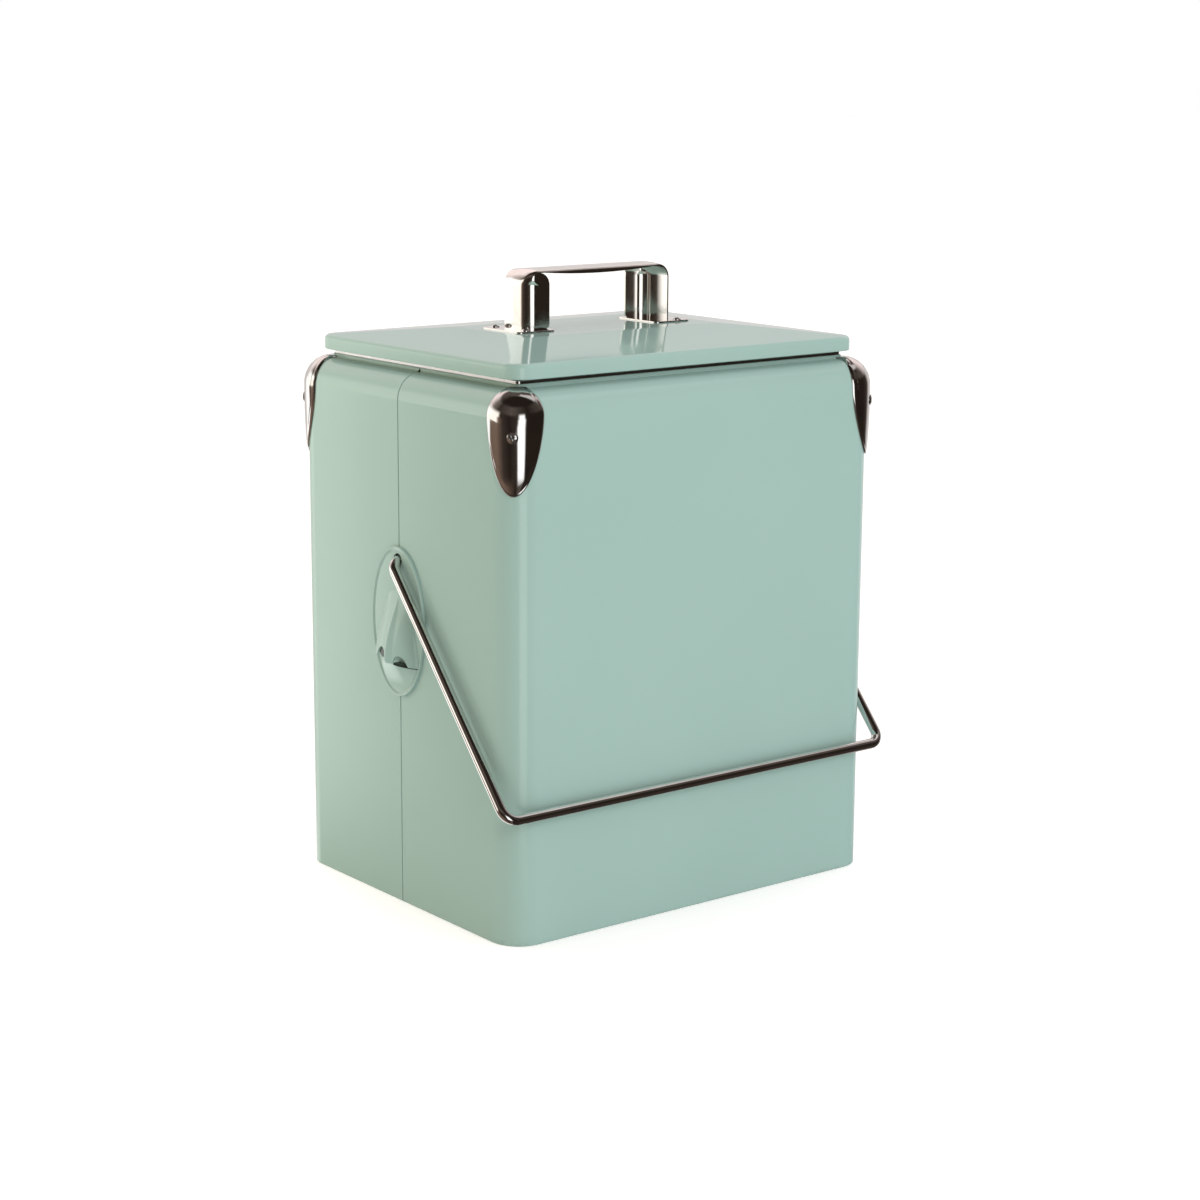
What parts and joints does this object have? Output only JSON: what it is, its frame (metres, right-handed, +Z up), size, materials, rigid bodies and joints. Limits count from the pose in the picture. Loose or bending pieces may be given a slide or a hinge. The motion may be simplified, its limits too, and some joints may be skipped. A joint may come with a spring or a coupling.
{
  "type": "insulated picnic cooler chest",
  "caption": "Upright insulated cooler chest in mint painted steel, with bright corner guards, a wire bail, a side bottle opener and a lift-off hipped lid with a strap handle.",
  "frame": {"origin": "centre of the flat underside, on the surface the chest stands on", "axes": "+Z up, +X to the chest's right, -Y towards the front where the bail hangs"},
  "size_m": [0.3242, 0.2487, 0.404],
  "materials": {
    "mint_paint": "gloss",
    "white_foam": "matte",
    "liner_steel": "satin",
    "bright_rim": "polished",
    "mirror_plate": "polished",
    "bail_plate": "polished",
    "screw_steel": "polished",
    "zinc_steel": "satin",
    "satin_nickel": "satin",
    "black_rubber": "matte"
  },
  "bodies": {
    "chest": {"front_shell": "mint_paint", "rear_shell": "mint_paint", "base_pan": "mint_paint", "foam_front": "white_foam", "foam_rear": "white_foam", "foam_left": "white_foam", "foam_right": "white_foam", "foam_floor": "white_foam", "inner_liner": "liner_steel", "rim_collar": "bright_rim", "guard_front_left": "mirror_plate", "guard_front_right": "mirror_plate", "guard_rear_left": "mirror_plate", "guard_rear_right": "mirror_plate", "guard_screws": "screw_steel", "side_plate_left": "mint_paint", "side_plate_right": "mint_paint", "bail_anchor_left": "zinc_steel", "bail_anchor_right": "zinc_steel"},
    "bail": {"bail_rod": "bail_plate", "bail_retainers": "zinc_steel"},
    "lid": {"lid_shell": "mint_paint", "lid_inner_pan": "liner_steel", "lid_foam": "white_foam", "lid_gasket": "black_rubber", "lid_handle": "satin_nickel", "lid_handle_screws": "screw_steel", "lid_handle_nuts": "zinc_steel"}
  },
  "joints": [
    {"name": "bail_swing", "type": "hinge", "parent": "chest", "child": "bail", "pos_m": [0, 0, 0.226], "axis": [-1, 0, 0], "range_deg": [0, 277.55]},
    {"name": "lid_lift", "type": "slide", "parent": "chest", "child": "lid", "axis": [0, 0, 1], "range_m": [0, 0.12]}
  ]
}
